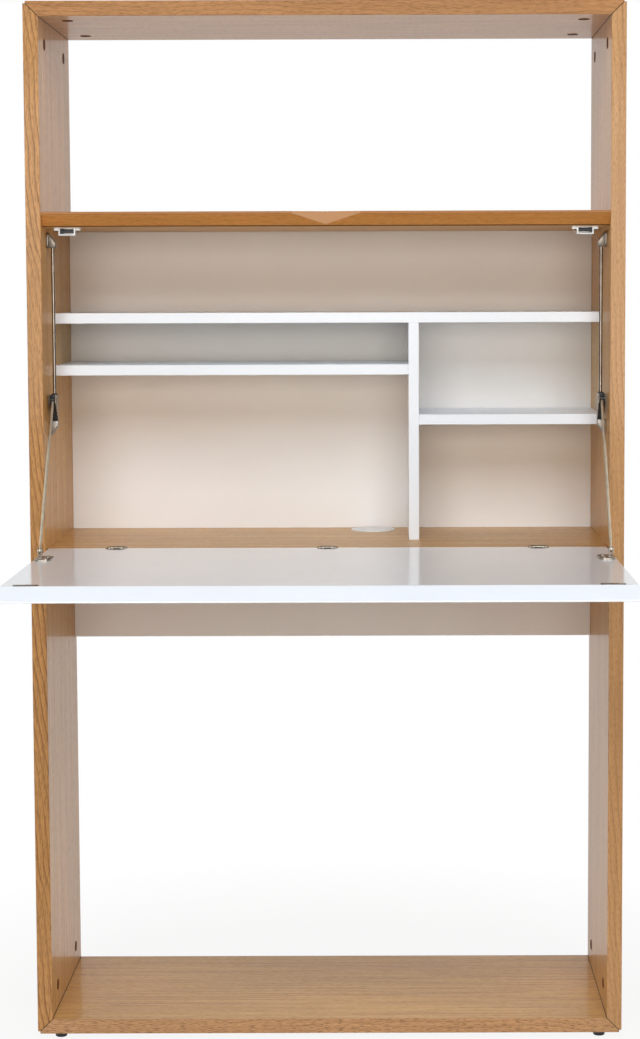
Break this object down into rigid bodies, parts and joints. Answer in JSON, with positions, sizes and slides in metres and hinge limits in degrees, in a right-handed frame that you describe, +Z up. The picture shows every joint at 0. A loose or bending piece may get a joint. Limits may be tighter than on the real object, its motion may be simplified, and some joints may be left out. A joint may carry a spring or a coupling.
{
  "type": "fold-down desk in a floor-standing frame",
  "caption": "Floor-standing oak frame with a shelved cabinet whose white front folds down on braked stays to make a desk.",
  "frame": {"origin": "on the floor, at the centre of the frame's footprint", "axes": "+X to the right of a person at the desk, +Y towards the back, +Z up"},
  "size_m": [1, 0.933, 1.76],
  "materials": {
    "oak_veneer": "satin lacquered oak veneer",
    "white_lacquer": "white satin lacquer on board",
    "nickel_plate": "nickel plate",
    "zinc_casting": "cast zinc, nickel plate",
    "steel_bar": "bright drawn steel",
    "steel_sheet": "bent steel sheet, zinc plate",
    "strike_steel": "plain steel",
    "steel_screw": "zinc-plated screw steel",
    "black_plastic": "moulded black plastic",
    "black_glide": "moulded black plastic",
    "white_plastic": "moulded white plastic",
    "oak_cap": "oak-coloured cap",
    "beech_dowel": "fluted beech",
    "ferrite": "ferrite magnet"
  },
  "bodies": {
    "frame": {"back_left_foot": "black_glide", "back_panel": "white_lacquer", "back_panel_screws": "steel_screw", "back_right_foot": "black_glide", "bottom_panel": "oak_veneer", "cabinet_floor_panel": "oak_veneer", "cabinet_top_panel": "oak_veneer", "cam_covers": "oak_cap", "cam_locks": "zinc_casting", "catch_magnets": "ferrite", "catch_pole_plates": "strike_steel", "catch_screws": "steel_screw", "divider_panel": "white_lacquer", "foot_screws": "steel_screw", "front_left_foot": "black_glide", "front_right_foot": "black_glide", "grommet_ring": "white_plastic", "hinge_floor_screws": "steel_screw", "hinge_pins": "steel_screw", "left_catch_housing": "white_plastic", "left_hinge_floor_cup": "nickel_plate", "left_shelf": "white_lacquer", "left_side_panel": "oak_veneer", "left_stay_guide_rod": "steel_bar", "left_stay_lower_bracket": "zinc_casting", "left_stay_top_bracket": "zinc_casting", "middle_hinge_floor_cup": "nickel_plate", "mitre_bolts": "steel_screw", "panel_dowels": "beech_dowel", "right_catch_housing": "white_plastic", "right_hinge_floor_cup": "nickel_plate", "right_shelf": "white_lacquer", "right_side_panel": "oak_veneer", "right_stay_guide_rod": "steel_bar", "right_stay_lower_bracket": "zinc_casting", "right_stay_top_bracket": "zinc_casting", "stay_bracket_screws": "steel_screw", "top_panel": "oak_veneer", "upper_shelf": "white_lacquer"},
    "flap": {"flap_panel": "white_lacquer", "hinge_flap_screws": "steel_screw", "left_hinge_flap_cup": "nickel_plate", "left_stay_clevis_pin": "steel_screw", "left_stay_flap_plate": "zinc_casting", "left_strike_plate": "strike_steel", "middle_hinge_flap_cup": "nickel_plate", "right_hinge_flap_cup": "nickel_plate", "right_stay_clevis_pin": "steel_screw", "right_stay_flap_plate": "zinc_casting", "right_strike_plate": "strike_steel", "stay_flap_screws": "steel_screw", "strike_screws": "steel_screw"},
    "left_slider": {"left_stay_slider_cage": "steel_sheet", "left_stay_brake_block": "black_plastic"},
    "left_arm": {"left_stay_arm": "steel_bar"},
    "right_slider": {"right_stay_slider_cage": "steel_sheet", "right_stay_brake_block": "black_plastic"},
    "right_arm": {"right_stay_arm": "steel_bar"},
    "cable_cap": {"grommet_cap": "white_plastic"}
  },
  "joints": [
    {"name": "flap_hinge", "type": "hinge", "parent": "frame", "child": "flap", "pos_m": [0, -0.176, 0.847], "axis": [-1, 0, 0], "range_deg": [0, 90]},
    {"name": "left_slider_slide", "type": "slide", "parent": "frame", "child": "left_slider", "axis": [0, 0, 1], "range_m": [0, 0.20205]},
    {"name": "left_arm_pivot", "type": "hinge", "parent": "flap", "child": "left_arm", "pos_m": [-0.466, -0.329, 0.859], "axis": [1, 0, 0], "range_deg": [0, 124.27]},
    {"name": "right_slider_slide", "type": "slide", "parent": "frame", "child": "right_slider", "axis": [0, 0, 1], "range_m": [0, 0.20205]},
    {"name": "right_arm_pivot", "type": "hinge", "parent": "flap", "child": "right_arm", "pos_m": [0.466, -0.329, 0.859], "axis": [1, 0, 0], "range_deg": [0, 124.27]},
    {"name": "cable_cap_turn", "type": "hinge", "parent": "frame", "child": "cable_cap", "pos_m": [0.076, 0.13, 0.848], "axis": [0, 0, 1], "continuous": true}
  ],
  "couplings": [
    {"joint": "left_slider_slide", "follows": "flap_hinge", "m_per_rad": 0.1285},
    {"joint": "left_arm_pivot", "follows": "flap_hinge", "ratio": 1.3797},
    {"joint": "right_slider_slide", "follows": "flap_hinge", "m_per_rad": 0.1285},
    {"joint": "right_arm_pivot", "follows": "flap_hinge", "ratio": 1.3797}
  ]
}
